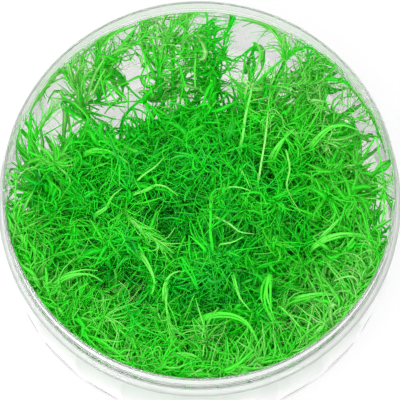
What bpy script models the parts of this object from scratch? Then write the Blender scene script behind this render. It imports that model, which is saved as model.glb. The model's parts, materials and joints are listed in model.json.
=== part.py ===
# Tissue culture bacopa: fine leaved shoots on clear nutrient gel, in an open round growing cup.
# Lengths are in metres. The cup stands on the plane Z = 0 and its axis is the Z axis.

import math

import bmesh
import bpy
import numpy as np
from mathutils import Vector

COLLECTION_NAME = "tissue_culture_bacopa"
TOUCH_GAP = 0.0003  # left between pieces that rest on each other

# Cup, a clear moulded shell with a smooth neck over a body of flat upright panels
CUP_HEIGHT = 0.045
NECK_RADIUS = 0.0475  # outside of the neck, up to the rim
NECK_HEIGHT = 0.009  # smooth band from the rim down to the bead
WALL = 0.0009
FLOOR = 0.0010
RIM_ROUND = 0.00025
BEAD = 0.0006  # how far the bead under the neck stands out
BEAD_HEIGHT = 0.0014
SHOULDER_STEP = 0.0018  # from the neck out to the top of the body
SHOULDER_DROP = 0.0022
BODY_BULGE = 0.0006  # the belly stands this far outside the top of the body
BASE_TAPER = 0.0010  # the body's lowest ring lies this far inside the belly
BASE_RING_LEVEL = 0.0064
BASE_GROOVE = 0.0005  # depth of the groove under the panels
BASE_GROOVE_HEIGHT = 0.0012
HEEL_LEVEL = 0.0014  # where the rounded lower edge meets the foot ring
HEEL_TUCK = 0.0018
FOOT_TUCK = 0.0032  # outside of the foot ring, inside the body's lowest ring
FOOT_WIDTH = 0.0016
FOOT_LIFT = 0.0010  # the underside lies this far above the foot ring
FLOOR_FILLET = 0.0040
PANELS = 24
STEPS_PER_PANEL = 2

# Nutrient gel, a disc that fills the bottom of the cup and climbs a little at the wall
GEL_DEPTH = 0.0070
GEL_CLIMB = 0.0008
GEL_CLIMB_WIDTH = 0.0014

# Shoots, each a stem with whorls of leaves, whose tips end level with the crown of the clump
SHOOT_COUNT = 42
SHOOT_SEED = 11
CROWN_HEADROOM = 0.0046  # from the rim down to the highest leaf tips
CROWN_FALL = 0.0016  # the clump is this much lower at the wall than in the middle
CROWN_SCATTER = 0.0030  # shoots end at most this far below the crown
LEAN_LEAST = 0.008  # sideways travel of a stem from its foot to its tip
LEAN_MOST = 0.022
EDDY_TURN = 1.9  # how fast the leaning direction turns across the cup; neighbours lean alike
HEADING_SCATTER = 0.5
LEAN_POWER = 1.7  # above 1 a stem starts upright and leans over higher up
STEM_RADIUS = 0.0009
TIP_RADIUS = 0.0005
LEAF_REACH = 0.0068  # from the stem to the tips of the longest leaves
LEAF_ROOT_SPAN = 0.0021  # length of stem that the leaves of a whorl spring from
WHORLS = 5
LEAVES_PER_WHORL = 4
FIRST_WHORL = 0.20  # shares of the stem's length at the lowest and highest whorl
LAST_WHORL = 0.93
CORE_FULLNESS = 0.40  # share of the leaves' reach that is filled all round, between whorls
VALLEY_FULLNESS = 0.52  # the same between the leaves of a whorl
WALL_MARGIN = 0.0052  # stems keep this far inside the wall, so that leaves fit between
STATIONS = 10  # points along each stem while the clump is settled
SETTLE_ROUNDS = 160
CROWD_PUSH = 0.08  # share of each overlap that a round pushes out
STIFFNESS = 0.14  # share of each kink that a round straightens
SAMPLES_PER_RING = 6  # along each stretch between rings, where the clearances are measured

NECK_BASE = CUP_HEIGHT - NECK_HEIGHT
BODY_TOP = NECK_BASE - SHOULDER_DROP
BODY_TOP_RADIUS = NECK_RADIUS + SHOULDER_STEP
BELLY_LEVEL = (BODY_TOP + BASE_RING_LEVEL) / 2
BELLY_RADIUS = BODY_TOP_RADIUS + BODY_BULGE
BASE_RADIUS = BELLY_RADIUS - BASE_TAPER
FOOT_RADIUS = BASE_RADIUS - FOOT_TUCK
FLOOR_LEVEL = FOOT_LIFT + FLOOR
GEL_LEVEL = FLOOR_LEVEL + GEL_DEPTH
ROOT_LEVEL = GEL_LEVEL + TOUCH_GAP
CROWN_LEVEL = CUP_HEIGHT - CROWN_HEADROOM
GOLDEN_ANGLE = math.pi * (3 - math.sqrt(5))
TURN_STEPS = PANELS * STEPS_PER_PANEL
HALF_PANEL = math.pi / PANELS


def clear_scene():
    for old in list(bpy.data.objects):
        bpy.data.objects.remove(old, do_unlink=True)
    for old in list(bpy.data.collections):
        bpy.data.collections.remove(old)


def new_material(name, colour, roughness, clearness=0.0, ior=1.45):
    material = bpy.data.materials.new(name)
    material.use_nodes = True
    shader = material.node_tree.nodes["Principled BSDF"]
    shader.inputs["Base Color"].default_value = (*colour, 1.0)
    shader.inputs["Roughness"].default_value = roughness
    shader.inputs["Metallic"].default_value = 0.0
    shader.inputs["Transmission Weight"].default_value = clearness
    shader.inputs["IOR"].default_value = ior
    material.diffuse_color = (*colour, 1.0)
    return material


def new_object(name, mesh, material, collection):
    mesh.materials.append(material)
    piece = bpy.data.objects.new(name, mesh)
    collection.objects.link(piece)
    return piece


def cup_inside():
    # Points (radius, height) of the inner face, from the middle of the floor up to the rim.
    low = BASE_RADIUS - WALL
    return [
        (0.0, FLOOR_LEVEL),
        (low - FLOOR_FILLET, FLOOR_LEVEL),
        (low - FLOOR_FILLET * (1 - math.sqrt(0.5)), FLOOR_LEVEL + FLOOR_FILLET * (1 - math.sqrt(0.5))),
        (low, FLOOR_LEVEL + FLOOR_FILLET),
        (BELLY_RADIUS - WALL, BELLY_LEVEL),
        (BODY_TOP_RADIUS - WALL, BODY_TOP),
        (NECK_RADIUS - WALL, NECK_BASE),
        (NECK_RADIUS - WALL, CUP_HEIGHT - RIM_ROUND),
        (NECK_RADIUS - WALL + RIM_ROUND, CUP_HEIGHT),
    ]


def cup_outside():
    # Points (radius, height) of the outer face, from the rim down to the middle of the underside.
    return [
        (NECK_RADIUS - RIM_ROUND, CUP_HEIGHT),
        (NECK_RADIUS, CUP_HEIGHT - RIM_ROUND),
        (NECK_RADIUS, NECK_BASE + BEAD_HEIGHT),
        (NECK_RADIUS + BEAD, NECK_BASE + BEAD_HEIGHT / 2),
        (NECK_RADIUS, NECK_BASE),
        (BODY_TOP_RADIUS, BODY_TOP),
        (BELLY_RADIUS, BELLY_LEVEL),
        (BASE_RADIUS, BASE_RING_LEVEL),
        (BASE_RADIUS - BASE_GROOVE, BASE_RING_LEVEL - BASE_GROOVE_HEIGHT / 2),
        (BASE_RADIUS, BASE_RING_LEVEL - BASE_GROOVE_HEIGHT),
        (BASE_RADIUS - HEEL_TUCK, HEEL_LEVEL),
        (FOOT_RADIUS, 0.0),
        (FOOT_RADIUS - FOOT_WIDTH, 0.0),
        (FOOT_RADIUS - FOOT_WIDTH - FOOT_LIFT / 2, FOOT_LIFT),
        (0.0, FOOT_LIFT),
    ]


def inner_radius(level):
    # Radius of the cup's inner face at a height or an array of heights, from the fillet upwards.
    wall = cup_inside()[1:-1]
    return np.interp(level, [z for _, z in wall], [r for r, _ in wall])


def turn_profile(name, profile, material, collection):
    # A closed round body from a profile that starts and ends on the axis.
    mesh = bpy.data.meshes.new(name)
    points = [(radius, 0.0, height) for radius, height in profile]
    mesh.from_pydata(points, [(i, i + 1) for i in range(len(points) - 1)], [])
    piece = new_object(name, mesh, material, collection)
    screw = piece.modifiers.new("turn", "SCREW")
    screw.angle = math.tau
    screw.steps = TURN_STEPS
    screw.render_steps = TURN_STEPS
    screw.use_merge_vertices = True
    screw.merge_threshold = 0.00001
    return piece


def apply_modifiers(piece):
    graph = bpy.context.evaluated_depsgraph_get()
    finished = bpy.data.meshes.new_from_object(piece.evaluated_get(graph))
    piece.modifiers.clear()
    piece.data = finished


def flatten_panels(mesh):
    # Draws the outer face of the body in to flat panels that meet at upright edges.
    for vertex in mesh.vertices:
        radius = math.hypot(vertex.co.x, vertex.co.y)
        on_body = BASE_RING_LEVEL - RIM_ROUND < vertex.co.z < BODY_TOP + RIM_ROUND
        if not on_body or radius < inner_radius(vertex.co.z) + WALL / 2:
            continue
        angle = math.atan2(vertex.co.y, vertex.co.x)
        across = (angle + HALF_PANEL) % (2 * HALF_PANEL) - HALF_PANEL
        share = math.cos(HALF_PANEL) / math.cos(across)
        vertex.co.x *= share
        vertex.co.y *= share


def shade(piece, sharp_degrees):
    piece.data.shade_smooth()
    piece.data.set_sharp_from_angle(angle=math.radians(sharp_degrees))


def make_cup(collection):
    clear_plastic = new_material("clear_plastic", (0.93, 0.95, 0.95), 0.06, 1.0, 1.49)
    cup = turn_profile("cup", cup_inside() + cup_outside(), clear_plastic, collection)
    apply_modifiers(cup)
    flatten_panels(cup.data)
    shade(cup, 12)


def make_gel(collection):
    nutrient_gel = new_material("nutrient_gel", (0.93, 0.94, 0.90), 0.12, 1.0, 1.34)
    edge = inner_radius(GEL_LEVEL)
    rim = GEL_LEVEL + GEL_CLIMB
    profile = [(0.0, GEL_LEVEL), (edge - TOUCH_GAP - GEL_CLIMB_WIDTH, GEL_LEVEL)]
    profile.append((inner_radius(rim) - TOUCH_GAP, rim))
    for radius, height in reversed(cup_inside()):
        if 0.0 < radius and height < GEL_LEVEL:
            profile.append((radius - TOUCH_GAP, max(height, FLOOR_LEVEL + TOUCH_GAP)))
    profile.append((0.0, FLOOR_LEVEL + TOUCH_GAP))
    gel = turn_profile("gel", profile, nutrient_gel, collection)
    shade(gel, 30)


def settle(courses):
    # Pushes stems apart sideways where they crowd each other, and keeps them smooth and in the cup.
    count, stations, _ = courses.shape
    own = np.repeat(np.arange(count), stations)
    others = own[:, None] != own[None, :]
    room = 2 * LEAF_REACH + TOUCH_GAP
    limit = inner_radius(courses[:, :, 2]) - WALL_MARGIN
    for _ in range(SETTLE_ROUNDS):
        flat = courses.reshape(-1, 3)
        apart = flat[:, None, :] - flat[None, :, :]
        distance = np.linalg.norm(apart, axis=2) + 1e-9
        crowding = np.where(others, np.clip(room - distance, 0.0, None), 0.0)
        push = (apart[:, :, :2] / distance[:, :, None] * crowding[:, :, None]).sum(axis=1)
        courses[:, :, :2] += CROWD_PUSH * push.reshape(count, stations, 2)
        bend = courses[:, :-2, :2] + courses[:, 2:, :2] - 2 * courses[:, 1:-1, :2]
        courses[:, 1:-1, :2] += STIFFNESS * bend
        courses[:, 0, :2] += STIFFNESS * (courses[:, 1, :2] - courses[:, 0, :2])
        straight_tip = 2 * courses[:, -2, :2] - courses[:, -3, :2]
        courses[:, -1, :2] += STIFFNESS * (straight_tip - courses[:, -1, :2])
        radius = np.linalg.norm(courses[:, :, :2], axis=2)
        courses[:, :, :2] *= np.minimum(1.0, limit / np.maximum(radius, 1e-9))[:, :, None]
    return courses


def stem_courses():
    # One row of points for each stem, from its foot on the gel to its tip under the crown.
    rng = np.random.default_rng(SHOOT_SEED)
    order = np.arange(SHOOT_COUNT)
    share = np.linspace(0.0, 1.0, STATIONS)
    bed = inner_radius(ROOT_LEVEL) - WALL_MARGIN
    outward = np.sqrt((order + 0.5) / SHOOT_COUNT)
    bearing = order * GOLDEN_ANGLE
    foot = bed * outward[:, None] * np.stack([np.cos(bearing), np.sin(bearing)], axis=1)
    eddies = np.sin(EDDY_TURN * foot[:, 0] / bed) + np.cos(EDDY_TURN * foot[:, 1] / bed)
    heading = math.pi * eddies + rng.uniform(-HEADING_SCATTER, HEADING_SCATTER, SHOOT_COUNT)
    lean = rng.uniform(LEAN_LEAST, LEAN_MOST, SHOOT_COUNT)
    travel = lean[:, None] * np.stack([np.cos(heading), np.sin(heading)], axis=1)
    crown = CROWN_LEVEL - CROWN_FALL * outward**2 - rng.uniform(0.0, CROWN_SCATTER, SHOOT_COUNT)
    courses = np.empty((SHOOT_COUNT, STATIONS, 3))
    courses[:, :, :2] = foot[:, None, :] + travel[:, None, :] * (share**LEAN_POWER)[None, :, None]
    courses[:, :, 2] = ROOT_LEVEL + (crown - ROOT_LEVEL)[:, None] * share[None, :]
    return settle(courses)


def along(points, share):
    # The point at a share, from 0 to 1, of the way along evenly numbered points.
    spot = np.clip(share, 0.0, 1.0) * (len(points) - 1)
    low = np.minimum(np.floor(spot).astype(int), len(points) - 2)
    part = (spot - low)[..., None]
    return points[low] * (1 - part) + points[low + 1] * part


def ring_shares(course):
    # Where the shoot's rings lie along its stem: the foot, two for each whorl, and the tip.
    span = LEAF_ROOT_SPAN / np.linalg.norm(np.diff(course, axis=0), axis=1).sum()
    whorls = np.linspace(FIRST_WHORL, LAST_WHORL, WHORLS)
    return np.concatenate([[0.0], np.stack([whorls - span, whorls], axis=1).ravel(), [1.0]])


def free_room(stems):
    # For each ring of each stem, how wide it can be without meeting a neighbour's leaves or the wall.
    rings = stems.shape[1]
    samples = np.linspace(0.0, 1.0, (rings - 1) * SAMPLES_PER_RING + 1)
    fine = np.array([along(stem, samples) for stem in stems])
    room = np.empty((len(stems), rings))
    for index, stem in enumerate(fine):
        rest = np.delete(fine, index, axis=0).reshape(-1, 3)
        nearest = np.linalg.norm(stem[:, None, :] - rest[None, :, :], axis=2).min(axis=1)
        wall = inner_radius(stem[:, 2]) - np.linalg.norm(stem[:, :2], axis=1)
        free = np.minimum((nearest - TOUCH_GAP) / 2, wall - TOUCH_GAP)
        for ring in range(rings):
            first = max(0, (ring - 1) * SAMPLES_PER_RING)
            room[index, ring] = free[first:(ring + 1) * SAMPLES_PER_RING + 1].min()
    return room


def stem_frames(points):
    # A pair of crosswise directions at each point, carried along the stem without twist.
    tangents = np.gradient(points, axis=0)
    tangents[0] = (0.0, 0.0, 1.0)
    tangents /= np.linalg.norm(tangents, axis=1)[:, None]
    side = Vector((1.0, 0.0, 0.0))
    frames = []
    for tangent in tangents:
        ahead = Vector(tangent)
        side = (side - ahead * side.dot(ahead)).normalized()
        frames.append((side.copy(), ahead.cross(side)))
    return frames


def ring_radii(shares, room):
    # For each ring but the tip, the radius of its odd and its even corners.
    foot = min(STEM_RADIUS, room[0])
    radii = [(foot, foot)]
    for whorl in range(WHORLS):
        ring = 2 + 2 * whorl
        stem = STEM_RADIUS + (TIP_RADIUS - STEM_RADIUS) * shares[ring]
        fullness = math.sin(math.pi * (0.22 + 0.58 * shares[ring])) ** 0.7
        leaf = min(LEAF_REACH * fullness, room[ring])
        core = min(max(stem, CORE_FULLNESS * leaf), room[ring - 1])
        valley = min(max(stem, VALLEY_FULLNESS * leaf), room[ring])
        radii.append((core, core))
        radii.append((leaf, valley) if whorl % 2 else (valley, leaf))
    return radii


def make_shoot(name, points, radii, material, collection):
    frames = stem_frames(points)
    corners = 2 * LEAVES_PER_WHORL
    shape = bmesh.new()
    rows = []
    for point, (side, across), (odd, even) in zip(points, frames, radii):
        row = []
        for corner in range(corners):
            angle = math.tau * corner / corners
            spoke = side * math.cos(angle) + across * math.sin(angle)
            row.append(shape.verts.new(Vector(point) + spoke * (odd if corner % 2 else even)))
        rows.append(row)
    foot = shape.verts.new(Vector(points[0]))
    tip = shape.verts.new(Vector(points[-1]))
    for corner in range(corners):
        after = (corner + 1) % corners
        shape.faces.new((foot, rows[0][after], rows[0][corner]))
        shape.faces.new((tip, rows[-1][corner], rows[-1][after]))
        for below, above in zip(rows, rows[1:]):
            shape.faces.new((below[corner], below[after], above[after], above[corner]))
    bmesh.ops.triangulate(shape, faces=list(shape.faces))
    mesh = bpy.data.meshes.new(name)
    shape.to_mesh(mesh)
    shape.free()
    shoot = new_object(name, mesh, material, collection)
    shade(shoot, 35)


def leaf_green(number):
    # A fresh green for each shoot, from deep to yellowish.
    warmth = (number * GOLDEN_ANGLE / math.tau) % 1.0
    colour = (0.03 + 0.12 * warmth, 0.42 + 0.16 * warmth, 0.03 + 0.02 * warmth)
    return new_material(f"leaf_green_{number:02d}", colour, 0.45)


def make_shoots(collection):
    courses = stem_courses()
    shares = np.array([ring_shares(course) for course in courses])
    stems = np.array([along(course, share) for course, share in zip(courses, shares)])
    room = free_room(stems)
    for index, points in enumerate(stems):
        number = index + 1
        radii = ring_radii(shares[index], room[index])
        make_shoot(f"shoot_{number:02d}", points, radii, leaf_green(number), collection)


def main():
    clear_scene()
    collection = bpy.data.collections.new(COLLECTION_NAME)
    bpy.context.scene.collection.children.link(collection)
    make_cup(collection)
    make_gel(collection)
    make_shoots(collection)


main()
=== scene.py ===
import json
import math

import bmesh
import bpy
import numpy as np
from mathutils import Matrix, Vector

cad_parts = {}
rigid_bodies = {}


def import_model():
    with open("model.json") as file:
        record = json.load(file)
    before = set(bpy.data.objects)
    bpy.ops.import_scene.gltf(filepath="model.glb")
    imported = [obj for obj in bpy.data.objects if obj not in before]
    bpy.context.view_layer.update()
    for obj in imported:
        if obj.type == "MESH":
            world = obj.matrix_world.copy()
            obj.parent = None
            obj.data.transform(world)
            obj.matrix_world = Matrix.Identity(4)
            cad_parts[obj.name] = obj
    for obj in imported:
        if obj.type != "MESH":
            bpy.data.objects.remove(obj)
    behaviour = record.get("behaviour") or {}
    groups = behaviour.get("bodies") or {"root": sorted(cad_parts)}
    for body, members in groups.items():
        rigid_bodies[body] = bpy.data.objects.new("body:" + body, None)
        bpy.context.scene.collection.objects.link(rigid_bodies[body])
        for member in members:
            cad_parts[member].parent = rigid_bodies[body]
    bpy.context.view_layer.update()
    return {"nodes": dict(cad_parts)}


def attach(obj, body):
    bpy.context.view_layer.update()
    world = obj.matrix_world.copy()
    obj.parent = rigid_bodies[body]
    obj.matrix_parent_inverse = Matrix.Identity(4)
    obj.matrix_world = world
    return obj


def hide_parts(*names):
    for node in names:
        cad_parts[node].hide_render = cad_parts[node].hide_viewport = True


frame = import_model()
shootNames = sorted(name for name in frame["nodes"] if name.startswith("shoot_"))


class Wire:  # a number socket that takes part in plain arithmetic
    def __init__(self, board, socket):
        self.board = board
        self.socket = socket

    def __add__(self, other):
        return self.board.maths("ADD", self, other)

    def __radd__(self, other):
        return self.board.maths("ADD", other, self)

    def __sub__(self, other):
        return self.board.maths("SUBTRACT", self, other)

    def __rsub__(self, other):
        return self.board.maths("SUBTRACT", other, self)

    def __mul__(self, other):
        return self.board.maths("MULTIPLY", self, other)

    def __rmul__(self, other):
        return self.board.maths("MULTIPLY", other, self)

    def __truediv__(self, other):
        return self.board.maths("DIVIDE", self, other)


class Board:  # adds nodes to one tree, for shaders or for geometry
    def __init__(self, tree):
        self.tree = tree

    def node(self, kind, settings=None, **values):
        made = self.tree.nodes.new(kind)
        for key, value in (settings or {}).items():
            setattr(made, key, value)
        for key, value in values.items():
            self.feed(self.find(made, key), value)
        return made

    def find(self, node, key):
        # socket names are written with underscores for spaces, and a trailing number picks by place
        if key.startswith("in") and key[2:].isdigit():
            return node.inputs[int(key[2:])]
        wanted = key.replace("_", " ")
        for socket in node.inputs:
            if socket.name == wanted and socket.enabled:
                return socket
        raise KeyError(f"{node.bl_idname} has no socket {wanted}")

    def feed(self, socket, value):
        if isinstance(value, Wire):
            value = value.socket
        if isinstance(value, bpy.types.NodeSocket):
            self.tree.links.new(value, socket)
        else:
            socket.default_value = value

    def maths(self, operation, first, second):
        made = self.node("ShaderNodeMath", {"operation": operation}, in0=first, in1=second)
        return Wire(self, made.outputs[0])


def outOf(node, name):
    for socket in node.outputs:
        if socket.name == name and socket.enabled:
            return socket
    raise KeyError(f"{node.bl_idname} has no output {name}")


def newMaterial(name):
    material = bpy.data.materials.new(name)
    material.use_nodes = True
    material.node_tree.nodes.clear()
    board = Board(material.node_tree)
    return material, board


def finishMaterial(board, shader, other=None, share=None):
    # ends a material in one shader, or in two that are mixed
    if other:
        shader = board.node("ShaderNodeMixShader", Fac=share, in1=shader.outputs[0], in2=other.outputs[0])
    board.node("ShaderNodeOutputMaterial", Surface=shader.outputs[0])


def colourRamp(board, factor, stops):
    ramp = board.node("ShaderNodeValToRGB", Fac=factor)
    bar = ramp.color_ramp
    while len(bar.elements) < len(stops):
        bar.elements.new(0.5)
    for element, (place, colour) in zip(bar.elements, stops):
        element.position = place
        element.color = (*colour, 1.0)
    return ramp.outputs["Color"]


def mixColours(board, factor, first, second):
    mixed = board.node("ShaderNodeMix", {"data_type": "RGBA"})
    board.feed(mixed.inputs[0], factor)
    board.feed(mixed.inputs[6], first)
    board.feed(mixed.inputs[7], second)
    return mixed.outputs[2]


def noise(board, scale):
    place = board.node("ShaderNodeTexCoord").outputs["Object"]
    made = board.node("ShaderNodeTexNoise", Vector=place, Scale=scale, Detail=2.0)
    return Wire(board, made.outputs["Fac"])


def attribute(board, name):
    return Wire(board, board.node("ShaderNodeAttribute", {"attribute_name": name}).outputs["Fac"])


def writeValues(mesh, name, values):
    values = np.array(values, np.float32)
    mesh.attributes.new(name, "FLOAT", "POINT").data.foreach_set("value", values)


def readValues(mesh, name):
    values = np.empty(len(mesh.vertices), np.float32)
    mesh.attributes[name].data.foreach_get("value", values)
    return values


def readPlaces(mesh):
    places = np.empty(len(mesh.vertices) * 3)
    mesh.vertices.foreach_get("co", places)
    return places.reshape(-1, 3)


def newObject(name, data):
    made = bpy.data.objects.new(name, data)
    bpy.context.scene.collection.objects.link(made)
    return made


studio = {
    "target": (0.0, 0.0, 0.026),
    "elevation": 74.0,  # degrees above the horizon
    "distance": 0.57,
    "lens": 207.0,
    "sensor": 36.0,
    "shift": (0.001, 0.0200),  # the photo's middle lies off the cup's
    "leafBounces": 14,  # light goes far among pale green leaves
    "allBounces": 20,
    "skyLight": 1.0,  # what the sky gives to surfaces; it shows as white
    "lampPower": 3.2,
    "lampSize": 0.55,
    "lampPlace": (-0.13, -0.27, 0.74),
    "floorSide": 4.0,
    "floorColour": (0.90, 0.90, 0.90),
    "floorWhite": 0.80,  # share of the floor that shows as plain white; the rest takes light and shadow
}


def makeCamera():
    camera = bpy.data.cameras.new("camera")
    camera.lens = studio["lens"]
    camera.sensor_width = studio["sensor"]
    camera.shift_x, camera.shift_y = studio["shift"]
    camera.clip_start = 0.01
    eye = newObject("camera", camera)
    rise = math.radians(studio["elevation"])
    back = Vector((0.0, -math.cos(rise), math.sin(rise)))
    eye.location = Vector(studio["target"]) + back * studio["distance"]
    eye.rotation_euler = back.to_track_quat("Z", "Y").to_euler()
    bpy.context.scene.camera = eye


def seenDirectly(board):
    # 1 for rays that show the backdrop: straight from the camera, or by gloss or glass
    path = board.node("ShaderNodeLightPath")
    names = ("Is Camera Ray", "Is Glossy Ray", "Is Transmission Ray")
    camera, glossy, clear = (Wire(board, path.outputs[name]) for name in names)
    return board.maths("MINIMUM", camera + glossy + clear, 1.0)


def makeSky():
    world = bpy.data.worlds.new("sky")
    world.use_nodes = True
    world.node_tree.nodes.clear()
    board = Board(world.node_tree)
    strength = studio["skyLight"] + (1 - studio["skyLight"]) * seenDirectly(board)
    sky = board.node("ShaderNodeBackground", Color=(1.0, 1.0, 1.0, 1.0), Strength=strength)
    board.node("ShaderNodeOutputWorld", Surface=sky.outputs[0])
    bpy.context.scene.world = world


def makeLamp():
    lamp = bpy.data.lights.new("softLamp", "AREA")
    lamp.shape = "DISK"
    lamp.size = studio["lampSize"]
    lamp.energy = studio["lampPower"]
    holder = newObject("softLamp", lamp)
    holder.location = studio["lampPlace"]
    aim = Vector(studio["lampPlace"]) - Vector(studio["target"])
    holder.rotation_euler = aim.to_track_quat("Z", "Y").to_euler()


def makeFloor():
    material, board = newMaterial("paleFloor")
    matt = board.node("ShaderNodeBsdfDiffuse", Color=(*studio["floorColour"], 1.0))
    glow = board.node("ShaderNodeEmission", Color=(1.0, 1.0, 1.0, 1.0), Strength=1.0)
    finishMaterial(board, matt, glow, studio["floorWhite"] * seenDirectly(board))
    half = studio["floorSide"] / 2
    mesh = bpy.data.meshes.new("floor")
    corners = [(-half, -half, 0.0), (half, -half, 0.0), (half, half, 0.0), (-half, half, 0.0)]
    mesh.from_pydata(corners, [], [(0, 1, 2, 3)])
    mesh.materials.append(material)
    floor = newObject("floor", mesh)


cup = {
    "height": 0.045,
    "neckRadius": 0.0475,
    "neckBase": 0.036,
    "wall": 0.0009,
    "neckWall": 0.0006,  # the neck is thinner
    "rimRound": 0.00028,
    "threadLevels": (0.0402, 0.0386),  # fine raised lines on the neck
    "threadRise": 0.00018,
    "threadHeight": 0.0005,
    "beadRise": 0.0006,
    "beadHeight": 0.0014,
    "bodyTop": 0.0338,
    "bodyTopRadius": 0.0493,
    "bellyRadius": 0.0499,
    "baseRadius": 0.0489,
    "baseLevel": 0.0064,
    "grooveDepth": 0.0005,
    "grooveHeight": 0.0012,
    "heelLevel": 0.0014,
    "heelTuck": 0.0018,
    "footRadius": 0.0457,
    "footWidth": 0.0016,
    "footLift": 0.0010,
    "floorLevel": 0.0020,
    "floorFillet": 0.0040,
    "seam": 0.0001,  # how far the panels reach past the body
    "panels": 24,
    "stepsPerPanel": 10,
    "smoothTo": 11,  # degrees; panels meet at more than that
    "milk": 0.075,  # share of white in the clear plastic
    "slantMilk": 0.86,  # and what a slanted view adds on the outer face
    "beadMilk": 0.55,  # and what the thick bead adds
    "mostMilk": 0.75,
    "milkColour": (0.90, 0.90, 0.905, 1.0),
    "beadLevel": 0.0352,
    "beadReach": 0.0019,
    "tint": (1.0, 0.985, 0.995, 1.0),
    "roughness": 0.10,
    "hazeSpread": 0.05,
    "hazeScale": 55.0,
    "rippleStrength": 0.05,
    "rippleScale": 28.0,
    "rippleDepth": 0.0006,
    "ior": 1.20,
}


def bodyRadius(level):
    # outer radius of the body at a height, an arc through its top, belly and base
    top, low = cup["bodyTop"], cup["baseLevel"]
    middle = (top + low) / 2
    radii = (cup["baseRadius"], cup["bellyRadius"], cup["bodyTopRadius"])
    return np.polyval(np.polyfit((low, middle, top), radii, 2), level)


def blendPoints(start, end, steps):
    # an S-shaped run between two profile points, its ends upright
    share = np.linspace(0.0, 1.0, steps)
    swing = share * share * (3 - 2 * share)
    out, up = end[0] - start[0], end[1] - start[1]
    return [(start[0] + out * s, start[1] + up * t) for s, t in zip(swing, share)]


def arc(out, up, radius, start, end, steps):
    # part of a circle round a centre, by angles
    turn = np.linspace(start, end, steps)
    return [(out + radius * math.cos(a), up + radius * math.sin(a)) for a in turn]


def ridge(radius, level, rise, height, steps=7):
    # a rounded raised line, from its top edge down
    turn = np.linspace(0.0, math.pi, steps)
    return [(radius + rise * math.sin(a) ** 2, level + height / 2 * math.cos(a)) for a in turn]


def cupOutside():
    # radius and height from the rim's top down to the middle of the underside
    rim, neck = cup["rimRound"], cup["neckRadius"]
    points = arc(neck - rim, cup["height"] - rim, rim, math.pi / 2, 0.0, 5)
    for level in cup["threadLevels"]:
        points += ridge(neck, level, cup["threadRise"], cup["threadHeight"])
    points += ridge(neck, cup["neckBase"] + cup["beadHeight"] / 2, cup["beadRise"], cup["beadHeight"], 9)
    under = (neck, cup["neckBase"] - cup["seam"])
    points += blendPoints(under, (cup["bodyTopRadius"], cup["bodyTop"]), 7)
    levels = np.linspace(cup["bodyTop"] - 0.0004, cup["baseLevel"] + 0.0002, 14)
    points += [(bodyRadius(z), z) for z in levels]
    base, groove = cup["baseRadius"], cup["grooveHeight"]
    points += ridge(base, cup["baseLevel"] - groove / 2, -cup["grooveDepth"], groove, 9)
    under = (base, cup["baseLevel"] - groove - 0.0004)
    points += blendPoints(under, (base - 0.0002, cup["heelLevel"] + 0.0014), 3)[1:]
    heel = base - cup["heelTuck"]
    points += [(base - 0.0007, cup["heelLevel"] + 0.0005), (heel, cup["heelLevel"])]
    foot = cup["footRadius"]
    points += [(foot + 0.0003, 0.0003), (foot, 0.0), (foot - cup["footWidth"], 0.0)]
    points += [(foot - cup["footWidth"] - 0.0005, cup["footLift"]), (0.0, cup["footLift"])]
    return points


def cupInside():
    # radius and height from the middle of the floor up to the rim's top
    wall, fillet, floor = cup["wall"], cup["floorFillet"], cup["floorLevel"]
    low = cup["baseRadius"] - wall
    points = [(0.0, floor)]
    points += arc(low - fillet, floor + fillet, fillet, -math.pi / 2, 0.0, 7)
    levels = np.linspace(floor + fillet + 0.0008, cup["bodyTop"], 14)
    points += [(bodyRadius(max(z, cup["baseLevel"])) - wall, z) for z in levels]
    neck = cup["neckRadius"] - cup["neckWall"]
    points += blendPoints(points[-1], (neck, cup["neckBase"]), 7)[1:]
    points += [(neck, (cup["neckBase"] + cup["height"]) / 2)]
    rim = cup["rimRound"]
    return points + arc(neck + rim, cup["height"] - rim, rim, math.pi, math.pi / 2, 5)


def innerRadius(level):
    # radius of the cup's inner face at a height, or at an array of heights
    wall = cupInside()[1:]
    return np.interp(level, [z for _, z in wall], [r for r, _ in wall])


def turnedMesh(name, profile, steps, shape=None):
    # turns a profile that starts and ends on the axis; shape gives each ring's radii round the turn
    angles = np.arange(steps) * math.tau / steps
    ring = np.stack([np.cos(angles), np.sin(angles)], axis=1)
    places, faces = [], []
    start = 0
    rows = []
    for number, (radius, height) in enumerate(profile):
        if radius < 1e-7:
            places.append(np.array([[0.0, 0.0, height]]))
            rows.append([start])
            start += 1
            continue
        reach = np.full(steps, radius) if shape is None else shape(number, radius, height, angles)
        flat = ring * reach[:, None]
        places.append(np.column_stack([flat, np.full(steps, height)]))
        rows.append(list(range(start, start + steps)))
        start += steps
    for low, high in zip(rows, rows[1:]):
        for step in range(steps):
            after = (step + 1) % steps
            corners = [low[step % len(low)], high[step % len(high)]]
            corners += [high[after % len(high)], low[after % len(low)]]
            faces.append(list(dict.fromkeys(corners)))
    mesh = bpy.data.meshes.new(name)
    mesh.from_pydata(np.concatenate(places).tolist(), [], faces)
    mesh.update()
    return mesh


def newPiece(name, mesh, material, smoothTo):
    mesh.materials.append(material)
    mesh.shade_smooth()
    mesh.set_sharp_from_angle(angle=math.radians(smoothTo))
    return newObject(name, mesh)


def ripple(board, piece):
    # slight waves on a clear surface
    height = noise(board, piece["rippleScale"])
    strength, depth = piece["rippleStrength"], piece["rippleDepth"]
    return board.node("ShaderNodeBump", Height=height, Strength=strength, Distance=depth).outputs[0]


def wetShader(board, tint, roughness, ior, waves):
    return board.node(
        "ShaderNodeBsdfPrincipled",
        Base_Color=tint,
        Roughness=roughness,
        IOR=ior,
        Transmission_Weight=1.0,
        Normal=waves,
    )


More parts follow.
